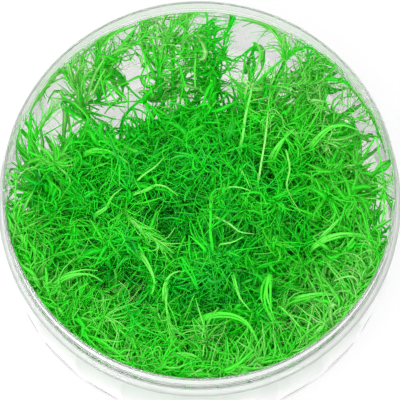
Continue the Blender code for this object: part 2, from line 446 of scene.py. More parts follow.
def clearPlastic():
    # clear when seen straight on, and milky at a slant, where the view passes through more of the plastic
    material, board = newMaterial("clearPlastic")
    haze = cup["roughness"] + cup["hazeSpread"] * (noise(board, cup["hazeScale"]) - 0.5)
    clear = wetShader(board, cup["tint"], haze, cup["ior"], ripple(board, cup))
    milk = board.node("ShaderNodeBsdfDiffuse", Color=cup["milkColour"])
    slant = Wire(board, board.node("ShaderNodeLayerWeight", Blend=0.5).outputs["Facing"])
    place = board.node("ShaderNodeTexCoord").outputs["Object"]
    height = Wire(board, board.node("ShaderNodeSeparateXYZ", Vector=place).outputs["Z"])
    away = board.maths("ABSOLUTE", height - cup["beadLevel"], 0.0)
    bead = board.maths("MAXIMUM", 1 - away / cup["beadReach"], 0.0)
    slanted = cup["slantMilk"] * slant * slant * attribute(board, "outerFace")
    share = cup["milk"] + slanted + cup["beadMilk"] * bead * (1 - slant * slant)
    share = board.maths("MINIMUM", share, cup["mostMilk"])
    finishMaterial(board, clear, milk, share)
    return material


def makeCup():
    inside, outside = cupInside(), cupOutside()
    firstOutside = len(inside)
    half = math.pi / cup["panels"]
    top, low = cup["bodyTop"], cup["baseLevel"]

    def panelled(number, radius, height, angles):
        # the outer face of the body is drawn in to flat panels that meet at upright edges
        if number < firstOutside or not low - cup["seam"] < height < top + cup["seam"]:
            return np.full(len(angles), radius)
        across = (angles + half) % (2 * half) - half
        return radius * math.cos(half) / np.cos(across)

    steps = cup["panels"] * cup["stepsPerPanel"]
    mesh = turnedMesh("cup", inside + outside, steps, panelled)
    outer = np.ones(len(mesh.vertices))
    outer[:1 + (firstOutside - 1) * steps] = 0.0
    writeValues(mesh, "outerFace", outer)
    piece = newPiece("clearCup", mesh, clearPlastic(), cup["smoothTo"])
    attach(piece, "root")
    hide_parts("cup")
    print("cup", len(mesh.polygons), "faces")


gel = {
    "level": 0.009,
    "gap": 0.0003,  # to the cup's floor
    "sideGap": 0.00012,
    "wallLevel": 0.0070,  # where its side meets the upright wall
    "climb": 0.0009,  # at the wall
    "climbWidth": 0.0022,
    "steps": 160,
    "smoothTo": 40,
    "tint": (0.95, 0.96, 0.92, 1.0),
    "roughness": 0.05,
    "hazeSpread": 0.10,
    "hazeScale": 90.0,
    "rippleStrength": 0.15,
    "rippleScale": 160.0,
    "rippleDepth": 0.0005,
    "ior": 1.34,
}


def nutrientGel():
    material, board = newMaterial("nutrientGel")
    haze = gel["roughness"] + gel["hazeSpread"] * noise(board, gel["hazeScale"])
    finishMaterial(board, wetShader(board, gel["tint"], haze, gel["ior"], ripple(board, gel)))
    return material


def makeGel():
    side, level = gel["sideGap"], gel["level"]
    fillet, floor = cup["floorFillet"], cup["floorLevel"]
    low, bottom = cup["baseRadius"] - cup["wall"], floor + gel["gap"]
    corner = arc(low - fillet, floor + fillet, fillet - side, -math.pi / 2, 0.0, 7)
    profile = [(0.0, bottom)] + [(radius, max(height, bottom)) for radius, height in corner]
    top = level + gel["climb"]
    profile += [(float(innerRadius(z)) - side, z) for z in np.linspace(gel["wallLevel"], top, 5)]
    edge = profile[-1][0]
    for share in np.linspace(0.15, 1.0, 8):
        profile.append((edge - gel["climbWidth"] * share, level + gel["climb"] * (1 - share) ** 2))
    profile.append((0.0, level))
    mesh = turnedMesh("gel", profile, gel["steps"])
    piece = newPiece("gelDisc", mesh, nutrientGel(), gel["smoothTo"])
    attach(piece, "root")
    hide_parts("gel")
    print("gel", len(mesh.polygons), "faces")


foliage = {
    "seed": 23,
    "stemGirth": 0.00058,  # radius of a main stem
    "stemStep": 0.0011,
    "stemSides": 5,
    "branchGirth": 0.00034,
    "branches": 8,
    "branchLength": (0.009, 0.019),
    "branchStep": 0.0013,
    "branchDepth": 0.0040,  # side stems lie this far under the crown
    "wander": 0.11,
    "wanderMix": (0.8, 0.6),  # shares of the last turn and of a new one
    "tries": 5,
    "mapSize": 30,
    "edge": 0.044,  # radius that stands for the clump's edge
    "liftReach": 0.008,  # side stems level off this far under that depth
    "liftLimits": (-0.9, 0.35),
    "liftShare": 0.5,
    "wallShy": 0.0035,  # and turn back this far from the wall
    "turnReach": 0.003,
    "turnMost": 1.2,
    "turnBack": 0.9,
    "thinTurn": 0.5,  # and where the clump is thin
    "thinCost": 15.0,  # how much they keep out of the clump's thin part
    "wallShoots": 0.62,  # shoots this far out have a side stem along the wall
    "wallRun": 0.017,  # how far it lies there
    "wallStart": 0.6,  # where it leaves the main stem
    "wallStandoff": 0.0012,
    "wallScatter": 0.0010,
    "wallDepth": (0.0014, 0.0036),  # under the crown
    "curveSteps": 200,
    "curveRounding": 12,
    "whorlSpacing": 0.00155,
    "leavesPerWhorl": 8,
    "leafLength": (0.0070, 0.0105),
    "leafRings": 6,
    "lastRing": 0.965,  # near the tip, so that the tip is blunt
    "widthScatter": (0.7, 1.35),
    "wavePace": (2.5, 5.5),
    "twist": 1.2,
    "splayScatter": 0.38,
    "lengthScatter": 0.25,
    "azimuthScatter": 0.45,
    "hueScatter": 0.18,
    "hue": 0.44,  # leaves of a shoot half way out
    "outerHue": 0.62,  # painted light and shade: how much paler outer shoots are made, and darker middle ones
    "hueSpread": 0.15,
    "wallGap": 0.00014,
    "leastGap": 0.00012,
    "wallSoftness": 0.0005,
    "wallTurn": 0.6,  # how much of what a leaf loses at the wall turns it aside
    "wallRise": 0.25,  # and lifts it
    "crownSoftness": 0.0014,
    "crownLevel": 0.0434,
    "farWallDrop": 0.0042,  # the clump is this much lower at its back
    "dropStart": 0.012,
    "dropReach": 0.034,
    "gelGap": 0.0004,
    "sprigLift": 0.0009,  # sprigs are raised by this much from the next level up
    "liftFrom": 0.0385,
    "rootBack": 0.3,  # a sprig's root lies this share of a step back
    "rootDrop": 0.005,  # and this far down
    "leastSheaf": 0.0003,  # straps finer than this are one thread
    "swirl": 0.0014,  # how far leaf tips drift with their neighbours
    "stray": 0.0012,  # and each for itself
    "thinShare": 0.03,  # leaves kept where the clump is thin
    "thinSoftness": 0.004,
    "thinMargin": 0.007,  # leaves are fewer and broader this far round it
    "marginShare": 0.5,
    "thinBroad": 0.30,  # share of broad leaves there
    "deepStart": 0.004,  # leaves this far under the crown begin to be deep ones
    "deepReach": 0.011,
    "deepHue": 0.15,  # painted shade: how much darker leaves are made deep in the clump, where shade falls
    "deepLength": 1.25,
    "broadShare": 0.8,  # share of broad leaves deep in the clump
    "middleBroad": 0.16,  # and near its middle
    "middleReach": 0.030,
    "sideBroad": 0.20,  # and at the left and right
    "sideReach": 0.014,
    "backHue": 0.17,  # how much paler leaves are at the back
    "backReach": 0.04,
    "rightHue": 0.16,  # painted light: how much paler leaves are made on the right, as if more light fell there
    "rightReach": 0.03,
    "thinHue": 0.24,  # how much paler and longer leaves are where the clump is thin
    "thinLength": 0.10,
    "patchHue": 0.14,  # paler and darker patches of leaves
    "seeThrough": 0.42,  # share of light that passes through a leaf
    "tipColour": (0.16, 0.97, 0.08, 1.0),
    "tipShare": 0.30,
    "throughColour": (0.16, 0.98, 0.09, 1.0),
    "gloss": 0.38,
    "glossSpread": 0.16,
    "glossScale": 400.0,
    "ior": 1.31,
}

# a leaf's colour by its tint: withered, then from dark to pale
leafColours = [
    (0.00, (0.20, 0.24, 0.04)),
    (0.03, (0.002, 0.54, 0.075)),
    (0.14, (0.003, 0.80, 0.050)),
    (0.30, (0.005, 0.95, 0.028)),
    (0.48, (0.022, 0.98, 0.022)),
    (0.66, (0.100, 0.98, 0.050)),
    (0.82, (0.22, 0.98, 0.13)),
    (0.92, (0.35, 0.98, 0.21)),
    (1.00, (0.56, 0.98, 0.34)),
]

# kinds of leaf: how many shapes, half the width and the length for each unit of leaf size, how deep the keel
# is for the width, how far the leaf bends and waves in degrees, and how much paler it is; the first three are
# mixed in the whorls, the fourth is the broad one and the last the straight one of some sprigs
leafKindKeys = ("shapes", "width", "length", "keel", "bend", "wave", "paler")
leafKinds = [dict(zip(leafKindKeys, row)) for row in [
    (16, 0.021, 1.0, 1.1, (-110.0, 170.0), 80.0, 0.05),
    (8, 0.0125, 1.35, 1.2, (-140.0, 210.0), 110.0, 0.13),
    (4, 0.040, 1.1, 0.5, (-60.0, 140.0), 80.0, 0.0),
    (5, 0.062, 1.0, 0.3, (-20.0, 140.0), 60.0, 0.0),
    (6, 0.031, 1.0, 1.0, (-40.0, 60.0), 30.0, 0.04),
]]

# where the clump is thin at the back: depth in from the wall, by bearing in degrees
thinBearings = (-10.0, 20.0, 35.0, 50.0, 65.0, 90.0, 115.0, 135.0, 150.0, 165.0, 185.0, 205.0)
thinDepths = (0.0, 3.5, 6.0, 13.0, 20.5, 22.0, 23.0, 22.5, 16.0, 6.0, 0.0, 0.0)  # mm

# small openings elsewhere, by place and radius in mm
openings = [
    (-38.2, 8.6, 1.6),
    (-43.6, -3.4, 4.2),
    (-38.8, -5.4, 1.6),
    (42.4, 9.4, 4.6),
    (43.2, -3.6, 5.0),
    (43.8, -11.8, 3.6),
    (36.0, 16.4, 3.0),
]

# single sprigs that stand out: habit, stem radius, leaf hue, stem hue and leaf length, then the stem's
# course as x, y and z of each point, in mm
sprigs = [
    ("brush", 0.45, 0.6, 0.55, 8.5, [(-29.1, 25.2, 30), (-30.4, 28.5, 34), (-31.8, 31.1, 37),
        (-34, 31.8, 38), (-36.9, 30, 38), (-38.9, 27.7, 37)]),
    ("brush", 0.42, 0.74, 0.8, 7, [(-28.6, 24.5, 29), (-29.5, 28.7, 32), (-29.7, 31.7, 34),
        (-29.7, 34.7, 36), (-28.6, 36.9, 37)]),
    ("brush", 0.6, 0.5, 0.45, 8, [(-25.4, 29.8, 29), (-25.6, 33.5, 32), (-25.5, 36.1, 35),
        (-24.9, 38.5, 37), (-22.7, 40.5, 38)]),
    ("leafy", 0.52, 0.5, 0.5, 6.5, [(-24.4, 34.4, 31), (-21.8, 36.5, 34), (-18.8, 37.6, 36),
        (-16.3, 39, 37), (-14, 40.5, 38), (-11.3, 42.9, 38)]),
    ("strap", 0.34, 0.7, 0.78, 7, [(-21.8, 35.9, 34), (-19.8, 38.4, 36), (-17.8, 41.2, 37),
        (-15.5, 43.4, 38), (-13.3, 46.7, 38.5)]),
    ("brush", 0.4, 0.4, 0.4, 7, [(-13.4, 39.6, 34), (-14.1, 42.1, 36), (-14.1, 43.9, 37.5),
        (-12.6, 46.2, 38.5)]),
    ("brush", 0.8, 0.42, 0.42, 8, [(-9.9, 29.8, 29), (-10.1, 33.5, 32), (-9.6, 37, 34), (-8.6, 39.9, 36),
        (-7.3, 42, 37.5), (-5.6, 44, 38.5)]),
    ("leafy", 0.55, 0.5, 0.5, 7, [(-6.7, 31.5, 30), (-6.9, 35.1, 32), (-6.9, 38, 34), (-5.9, 40.5, 36),
        (-3.4, 41.2, 37.5), (-0.9, 41.3, 38)]),
    ("brush", 0.4, 0.66, 0.6, 7, [(-3.4, 39.1, 34), (-3.1, 42.1, 36), (-3.4, 44.1, 37.5),
        (-2.4, 45.9, 38.5)]),
    ("brush", 0.4, 0.62, 0.6, 7, [(-8.4, 41.4, 35), (-9.3, 43.8, 37), (-8.6, 45.4, 38.5)]),
    ("strap", 0.6, 0.66, 0.66, 7, [(-41, 10.2, 36), (-41.5, 13, 37), (-41.6, 16.4, 37.5), (-41.6, 20, 37.5),
        (-41.2, 23.3, 37)]),
    ("brush", 0.45, 0.45, 0.5, 6.5, [(-40.7, 13.6, 35), (-39.7, 16.2, 36.5), (-38.2, 18.5, 37.5),
        (-36.5, 21.1, 38)]),
    ("leafy", 0.5, 0.1, 0.25, 6.5, [(1.4, 34.2, 30), (1.6, 36.8, 33), (1.8, 39.4, 36), (2.1, 41.8, 38),
        (1.8, 43.5, 38.5)]),
    ("leafy", 0.45, 0.06, 0.25, 6, [(3.6, 34.9, 31), (3.6, 37.5, 34), (3.6, 40.3, 36.5), (3.6, 42.4, 38)]),
    ("brush", 0.28, 0.02, 0.3, 5.5, [(5.6, 37.4, 33), (6.1, 40.1, 35.5), (6.8, 42.2, 37), (8.3, 44.8, 38)]),
    ("bare", 0.62, 0.5, 0.52, 6, [(12.4, 26.6, 38), (14.9, 29.4, 38.2), (17.4, 31.8, 38),
        (19.9, 34.4, 37.5), (21.6, 36.1, 37)]),
    ("brush", 0.56, 0.64, 0.62, 7.5, [(20.9, 35.3, 37), (20.7, 38.1, 37.5), (19.7, 40.8, 38),
        (18.2, 42.6, 38), (15.7, 44.2, 38)]),
    ("brush", 0.55, 0.12, 0.3, 6, [(21.1, 35.3, 37), (22.9, 36.5, 37.5), (24.6, 37.6, 38),
        (26.8, 37.9, 38)]),
    ("leafy", 0.45, 0.08, 0.25, 5.5, [(26.4, 34.1, 36), (27.1, 35.9, 37), (27.8, 37.3, 37.5)]),
    ("leafy", 0.62, 0.45, 0.45, 6.5, [(13.9, 27.1, 38), (17.8, 27.5, 38.3), (21.7, 27.7, 38.5),
        (25.7, 28.3, 38.5), (29.7, 29.1, 38.3)]),
    ("leafy", 0.66, 0.42, 0.42, 6.5, [(29.2, 29.2, 38), (32.6, 29.7, 38), (35.9, 29.1, 37.5),
        (38.6, 27, 37), (41, 24.1, 37), (43.1, 20.7, 37), (45, 16.8, 37)]),
    ("leafy", 0.45, 0.05, 0.22, 6, [(29.3, 29.8, 35), (30, 31.6, 36.5), (31.2, 33.6, 37.5),
        (32.2, 34.7, 38)]),
    ("brush", 0.34, 0.7, 0.76, 6.5, [(25.4, 31.3, 35), (26.8, 33.4, 36.5), (28.5, 34.1, 37.5),
        (30.5, 34.7, 38)]),
    ("rosette", 0.55, 0.8, 0.93, 7, [(9.8, 11.1, 39.5), (10.6, 14, 41.5), (11, 18, 42), (11.8, 21.6, 42),
        (12.6, 24.9, 41.5), (12.8, 27.1, 41)]),
    ("rosette", 0.4, 0.76, 1, 5.5, [(13.9, 1.1, 39), (14.4, 3.4, 41.5), (15.1, 7.7, 42.3),
        (15.9, 12.2, 42.3), (16.4, 17, 42), (16.7, 20.2, 41.5)]),
    ("strap", 0.62, 0.74, 0.8, 7, [(27.4, 12, 40), (29.8, 14.3, 41.5), (32.2, 16, 41.8), (35.2, 16.4, 41.3),
        (38.4, 15.4, 40.5)]),
    ("strap", 0.75, 0.7, 0.8, 7, [(17.6, 8.9, 40), (19, 11, 41.5), (21, 13.4, 41.8), (23, 15.4, 41.2)]),
    ("fan", 0.62, 0.56, 0.46, 4.2, [(3.5, -18.5, 39), (3, -14.7, 41.5), (2.5, -10.4, 42.2),
        (2.7, -6.5, 42.4), (2.5, -3.5, 42.4)]),
    ("strap", 0.52, 0.72, 0.78, 7, [(-28.1, 9.4, 40), (-25.6, 10, 41.5), (-22.7, 9.8, 42), (-19.8, 8.5, 42),
        (-17.6, 6.9, 41.5), (-16.2, 5.9, 40)]),
    ("strap", 0.55, 0.74, 0.8, 7, [(-37.3, -26, 38.5), (-35.3, -23.8, 40.5), (-32.4, -21.9, 41.5),
        (-29, -21, 41.8), (-25.7, -21.2, 41.5), (-23.1, -22.5, 40)]),
    ("strap", 0.34, 0.74, 0.84, 7, [(-33.4, -21.7, 40), (-31, -20.7, 41.5), (-27.6, -20, 42),
        (-24.3, -20.2, 41.5)]),
    ("brush", 0.42, 0.7, 0.84, 7.5, [(-17.8, -5.3, 40), (-16.2, -8.2, 41.5), (-13.8, -10.6, 42),
        (-10.9, -12.4, 42), (-8.8, -15.2, 41.5)]),
    ("strap", 0.52, 0.74, 0.88, 7, [(-14.8, -14.8, 40), (-12.8, -17.8, 41.8), (-11.4, -20.6, 42.2),
        (-10.6, -23.5, 42), (-11.4, -25.8, 40.5)]),
    ("strap", 0.4, 0.76, 0.86, 7, [(-8.5, -26.8, 40.5), (-8.5, -24.2, 41.8), (-7.5, -21.8, 42.2),
        (-5.6, -20.5, 42), (-3.7, -20.3, 41)]),
    ("fan", 0.42, 0.72, 0.86, 6.5, [(-7.8, -24.5, 41), (-8, -28.1, 41.8), (-7.7, -31.1, 42),
        (-7.3, -34, 41.8)]),
    ("blade", 1.05, 0.3, 0.3, 7, [(-4.2, -16.6, 41), (-3, -19.3, 42), (-1.6, -21.8, 42.2),
        (-0.4, -24.7, 41.8)]),
    ("strap", 0.62, 0.66, 0.72, 7, [(-0.4, -32.1, 40), (2.5, -31.2, 41.5), (5.3, -30.9, 42),
        (8.2, -31.3, 42), (10.8, -32.5, 41.8), (12.7, -35.1, 41.5), (13.8, -37.9, 41),
        (14.8, -40.7, 39.5)]),
    ("strap", 0.5, 0.76, 0.86, 7, [(-10.3, -42.6, 39), (-7.9, -41.1, 41), (-5.1, -40.5, 41.8),
        (-2.3, -40.5, 41.8), (0.1, -41.6, 41), (1.5, -43.6, 39.5)]),
    ("strap", 0.42, 0.7, 0.8, 7, [(-7, -41.3, 40), (-4.2, -40.8, 41), (-1.3, -41.6, 41), (0.3, -43, 40)]),
    ("blade", 1.25, 0.55, 0.72, 7, [(16.8, -21, 41), (16, -24.3, 42.2), (15.8, -27.2, 42.2),
        (16.7, -30.5, 41.5), (18.4, -33.5, 40)]),
    ("strap", 0.6, 0.76, 0.84, 7, [(27.5, -13.8, 40), (30.3, -12.2, 41.3), (33.7, -11.3, 41.8),
        (37.1, -11.2, 41.5), (40.5, -11.7, 40.5), (43.5, -11.5, 39)]),
    ("strap", 0.36, 0.76, 0.86, 7, [(29.4, -11.4, 40.5), (32.3, -8.8, 41.8), (34.7, -6.1, 41.8),
        (37, -2.9, 40.5)]),
    ("strap", 0.58, 0.74, 0.82, 7, [(23, -26.7, 40), (25.8, -26.3, 41.3), (29.2, -25.8, 41.5),
        (33, -26.2, 41), (35.9, -27.3, 39.5)]),
    ("fan", 0.4, 0.62, 0.8, 7, [(19.1, -28.9, 41), (21.9, -31.8, 41.8), (24.3, -34.6, 41.5),
        (26, -36.1, 40.5)]),
    ("brush", 0.48, 0.72, 0.8, 7.5, [(-23.7, -33.1, 40), (-22.7, -30.9, 41.2), (-20.8, -32.4, 41.5),
        (-17.9, -35.7, 41), (-14.1, -37.7, 40)]),
    ("strap", 0.5, 0.76, 0.84, 7, [(-23.7, -41.4, 38), (-20.7, -40.2, 40.5), (-17.4, -39.4, 41),
        (-13.7, -39.4, 40)]),
    ("strap", 0.4, 0.74, 0.86, 7, [(8, -20.9, 40.5), (8.7, -24.2, 41.8), (9.6, -27.2, 42),
        (12, -30, 41.5)]),
    ("brush", 0.4, 0.74, 0.8, 7, [(-27.5, -35, 40), (-25.1, -34.3, 41), (-22.7, -32.9, 41.3)]),
    ("strap", 0.44, 0.72, 0.84, 7, [(-25, -5.9, 40.5), (-22.5, -4.7, 41.5), (-21.1, -1.8, 41.8),
        (-18.7, 0.4, 41.2)]),
    ("strap", 0.3, 0.76, 0.92, 7, [(-15.9, -0.9, 40.5), (-12.9, -0.3, 41.8), (-10.5, 1.2, 42),
        (-8.1, 0.7, 42), (-5.2, -1.6, 41.2)]),
    ("strap", 0.28, 0.76, 0.9, 7, [(-15.4, 2, 41), (-13.4, 3.7, 42), (-10.5, 5.7, 42.2), (-8.2, 8.6, 41)]),
    ("strap", 0.28, 0.76, 0.92, 7, [(5.4, 0.1, 40.5), (7.8, 0.7, 41.8), (10.7, 0.2, 42), (13.6, -1, 41)]),
    ("strap", 0.26, 0.76, 0.94, 7, [(3.5, -6.6, 41), (6.8, -8.4, 42), (9.7, -10.9, 42.2),
        (13.1, -11.1, 41.2)]),
    ("strap", 0.28, 0.76, 0.92, 7, [(4.9, -13.6, 41), (7.8, -13.4, 42), (10.6, -11.9, 42.2)]),
    ("strap", 0.26, 0.76, 0.92, 7, [(21, 10.1, 41), (21.9, 5.2, 42), (20.8, 0.7, 42), (22.3, -2.7, 41.5),
        (24.2, -5.6, 41)]),
    ("strap", 0.28, 0.76, 0.9, 7, [(9.8, 5.5, 41), (11.2, 2.7, 42), (12.2, 0.2, 42)]),
]

# each habit: share of leaves kept at the stem's foot and tip, where the change lies, leaf splay at foot and
# tip in degrees, and share of straight leaves
habits = {
    "leafy": (0.80, 1.00, 0.5, 58.0, 30.0, 0.12),
    "brush": (0.15, 0.70, 0.5, 32.0, 13.0, 0.8),
    "fan": (0.00, 1.00, 0.86, 30.0, 20.0, 0.85),
    "rosette": (0.00, 1.00, 0.90, 60.0, 78.0, 0.8),
    "strap": (0.00, 0.00, 0.5, 40.0, 40.0, 0.0),
    "bare": (0.06, 0.10, 0.5, 50.0, 40.0, 0.5),
    "blade": (0.00, 0.00, 0.5, 40.0, 40.0, 0.0),
}

# a strap or a broad blade is a sheaf of threads: how many, how far apart and how thick for the whole's girth,
# where they part, and how sharply they swell
sheaves = {"blade": (6, 0.36, 0.24, 0.38, 1.4), "strap": (3, 0.62, 0.50, 0.15, 0.6)}


def unit(values):
    # keeps values from 0 to 1
    return np.clip(values, 0.0, 1.0)


def wallBearing(x, y):
    # bearing in degrees from the X axis, from -90 up to 270
    return (np.degrees(np.arctan2(y, x)) + 90.0) % 360.0 - 90.0


def thinness(x, y, margin=0.0):
    # 1 in the thin part of the clump at the back, 0 in its dense part
    depth = np.interp(wallBearing(x, y), thinBearings, thinDepths, left=0.0, right=0.0) / 1000
    fromWall = cup["neckRadius"] - cup["wall"] - np.hypot(x, y)
    share = unit((depth + margin - fromWall) / foliage["thinSoftness"] + 0.5)
    return np.where(depth > 0, share, 0.0)


def crownAt(x, y):
    # height that the leaves reach: level in front, lower towards the back wall
    back = unit((y - foliage["dropStart"]) / foliage["dropReach"])
    return foliage["crownLevel"] - foliage["farWallDrop"] * back**1.3


def stemAxis(name):
    # the middle line of a shoot's solid, read ring by ring from its foot
    mesh = frame["nodes"][name].data
    places = readPlaces(mesh)
    microns = np.round(places * 1e6).astype(int)
    _, first, owner = np.unique(microns, axis=0, return_index=True, return_inverse=True)
    owner = owner.ravel()
    spots = places[first]
    near = [set() for _ in spots]
    for edge in mesh.edges:
        a, b = owner[edge.vertices[0]], owner[edge.vertices[1]]
        near[a].add(b)
        near[b].add(a)
    level = {index for index, spot in enumerate(spots) if spot[2] < spots[:, 2].min() + 5e-5}
    seen, axis = set(), []
    while level:
        axis.append(spots[list(level)].mean(axis=0))
        seen |= level
        level = {n for index in level for n in near[index]} - seen
    return np.array(axis)


def eachAxis(work, points):
    # the same work on the x, y and z of a row of points
    return np.stack([work(points[:, axis]) for axis in range(3)], axis=1)


def smoothRun(points, step):
    # evenly spaced points along a smooth curve through the given ones
    points = np.array(points, float)
    lengths = np.concatenate([[0.0], np.cumsum(np.linalg.norm(np.diff(points, axis=0), axis=1))])
    fine = np.linspace(0.0, lengths[-1], foliage["curveSteps"])
    dense = eachAxis(lambda values: np.interp(fine, lengths, values), points)
    half = foliage["curveRounding"]
    kernel = np.hanning(2 * half + 1)
    kernel /= kernel.sum()
    before, after = dense[half:0:-1], dense[-2:-2 - half:-1]
    padded = np.concatenate([2 * dense[0] - before, dense, 2 * dense[-1] - after])
    rounded = eachAxis(lambda values: np.convolve(values, kernel, "valid"), padded)
    count = max(3, int(round(lengths[-1] / step)) + 1)
    wanted = np.linspace(0.0, len(rounded) - 1, count)
    return eachAxis(lambda values: np.interp(wanted, np.arange(len(rounded)), values), rounded)


def growBranch(start, heading, length, rng):
    # a side stem that leaves outwards, rises to the crown and lies over beneath it
    step = foliage["branchStep"]
    lastTurn, newTurn = foliage["wanderMix"]
    points = [np.array(start)]
    heading = heading / np.linalg.norm(heading)
    wander = rng.normal(0.0, 1.0, 3)
    for _ in range(int(length / step)):
        place = points[-1]
        wander = lastTurn * wander + newTurn * rng.normal(0.0, 1.0, 3)
        room = crownAt(place[0], place[1]) - foliage["branchDepth"] - place[2]
        lift = np.clip(room / foliage["liftReach"], *foliage["liftLimits"])
        rise = np.array([0.0, 0.0, lift * foliage["liftShare"]])
        heading = heading + rise + foliage["wander"] * wander
        radius = math.hypot(place[0], place[1])
        limit = float(innerRadius(place[2])) - foliage["wallShy"]
        crowd = np.clip((radius - limit) / foliage["turnReach"], 0.0, foliage["turnMost"])
        crowd += foliage["thinTurn"] * float(thinness(place[0], place[1]))
        heading[:2] -= foliage["turnBack"] * crowd * place[:2] / max(radius, 1e-6)
        heading /= np.linalg.norm(heading)
        points.append(place + heading * step)
    return np.array(points)


def wallBranch(start, bearing, length, rng):
    # a side stem that climbs to the wall and lies along it, close under the crown
    way = rng.choice([-1.0, 1.0])
    points = [np.array(start)]
    for share in (0.0, 0.33, 0.67, 1.0):
        angle = bearing + way * (share - 0.4) * length / cup["neckRadius"]
        radius = cup["neckRadius"] - cup["wall"] - foliage["wallStandoff"]
        radius -= foliage["wallScatter"] * rng.uniform()
        place = np.array([radius * math.cos(angle), radius * math.sin(angle), 0.0])
        place[2] = crownAt(place[0], place[1]) - rng.uniform(*foliage["wallDepth"])
        points.append(place)
    return smoothRun(points, foliage["branchStep"])


def cells(points):
    # rows and columns of the map of how crowded the clump is, seen from above
    size = foliage["mapSize"]
    spot = (points[:, :2] / (2 * cup["bellyRadius"]) + 0.5) * size
    return tuple(np.clip(spot.astype(int), 0, size - 1).T)


def branchToSpace(start, forward, length, crowded, rng):
    # of a few side stems tried all round, the one that goes where there is most room
    best, least = None, None
    turn = rng.uniform(0.0, math.tau)
    for number in range(foliage["tries"]):
        angle = turn + math.tau * number / foliage["tries"]
        outward = np.array([math.cos(angle), math.sin(angle), 0.1])
        path = growBranch(start, 0.5 * forward + outward, length, rng)
        cost = crowded[cells(path)].mean() + foliage["thinCost"] * thinness(path[:, 0], path[:, 1]).mean()
        if least is None or cost < least:
            best, least = path, cost
    np.add.at(crowded, cells(best), 1.0)
    return best


def openness(points):
    # share of leaves kept at each point: few at the back and none in the small openings
    x, y = points[:, 0], points[:, 1]
    share = 1 - (1 - foliage["thinShare"]) * thinness(x, y)
    share *= 1 - (1 - foliage["marginShare"]) * thinness(x, y, foliage["thinMargin"])
    for left, ahead, radius in openings:
        away = np.hypot(x * 1000 - left, y * 1000 - ahead)
        share *= unit((away / radius) ** 2 - 0.5)
    return share


def patches(x, y):
    # paler patches of the clump towards 1 and darker ones towards -1
    x, y = x * 1000, y * 1000
    return np.sin(0.42 * x + 1.3 * np.sin(0.23 * y)) * np.sin(0.37 * y + 0.6 + 1.1 * np.sin(0.19 * x))


def newRun(points, girth, hue, stemHue, leafLength, habit):
    # a stem's course with what the tree needs to know at each point
    kept, keptLast, change, splay, splayLast, straight = habits[habit]
    points = np.array(points)
    x, y, z = points.T
    share = np.linspace(0.0, 1.0, len(points))
    late = unit((share - change + 0.15) / 0.3)
    taper = 1 - 0.5 * share
    if habit == "strap":
        taper = 0.12 + 0.88 * np.sin(math.pi * np.clip(share, 0.02, 0.98)) ** 0.7
    depth = unit((crownAt(x, y) - foliage["deepStart"] - z) / foliage["deepReach"])
    thin = thinness(x, y)
    around = thinness(x, y, foliage["thinMargin"])
    middle = unit(1.3 - np.hypot(x, y) / foliage["middleReach"])
    sides = unit(np.abs(x) / foliage["sideReach"] - 1.2)
    broad = foliage["broadShare"] * unit(2.0 * depth - 0.9)
    broad += foliage["middleBroad"] * middle
    broad += foliage["sideBroad"] * sides
    size = leafLength * (0.75 + 0.25 * np.sin(math.pi * share)) * (1 + (foliage["deepLength"] - 1) * depth)
    size *= 1 + foliage["thinLength"] * thin
    shade = foliage["patchHue"] * patches(x, y)
    shade += foliage["thinHue"] * thin
    # painted shade: leaves deep in the clump are darkened, but not at the left and right
    shade -= foliage["deepHue"] * depth * (1 - sides)
    shade += foliage["backHue"] * unit(y / foliage["backReach"])
    # painted light: leaves paler towards the right, a little darker at the left
    shade += foliage["rightHue"] * np.clip(x / foliage["rightReach"], -0.1, 1.0)
    return {
        "points": points,
        "girth": girth * taper,
        "leafSize": size,
        "fullness": kept + (keptLast - kept) * late,
        "splay": np.radians(splay + (splayLast - splay) * share**1.5),
        "hue": np.clip(hue + shade, min(hue, 0.10), 0.9),
        # painted shade: stems are darker deep in the clump
        "stemHue": np.maximum(stemHue - 0.4 * depth, 0.1),
        "broad": (broad * (1 - around) + foliage["thinBroad"] * around) * (habit == "leafy"),
        "straight": np.full(len(points), straight),
    }


def sprigRuns(points, habit, girth, hue, stemHue, leafLength):
    # the threads of a sheaf, side by side, or one stem
    course = smoothRun(points, foliage["branchStep"])
    if habit not in sheaves or girth < foliage["leastSheaf"]:
        return [newRun(course, girth, hue, stemHue, leafLength, habit)]
    ahead = np.gradient(course, axis=0)
    side = np.stack([-ahead[:, 1], ahead[:, 0], np.zeros(len(ahead))], axis=1)
    side /= np.maximum(np.linalg.norm(side, axis=1), 1e-9)[:, None]
    share = np.linspace(0.0, 1.0, len(course))
    count, apart, thread, lead, swell = sheaves[habit]
    spread = np.sin(math.pi * unit((share - lead) / (1 - lead))) ** swell
    threads = []
    for number in range(count):
        across = number - (count - 1) / 2
        sway = 0.25 * girth * np.sin(9.0 * share + 2.1 * number)
        place = course + side * (spread * girth * apart * across + sway)[:, None]
        place[:, 2] -= 0.30 * girth * abs(across) - 0.2 * girth * np.sin(7.0 * share + 1.3 * number)
        # every other thread is paler: painted highlight streaks along the sheaf
        tone = stemHue + 0.10 * (number % 2) - 0.07
        threads.append(newRun(place, girth * thread, hue, tone, leafLength, "strap"))
    return threads


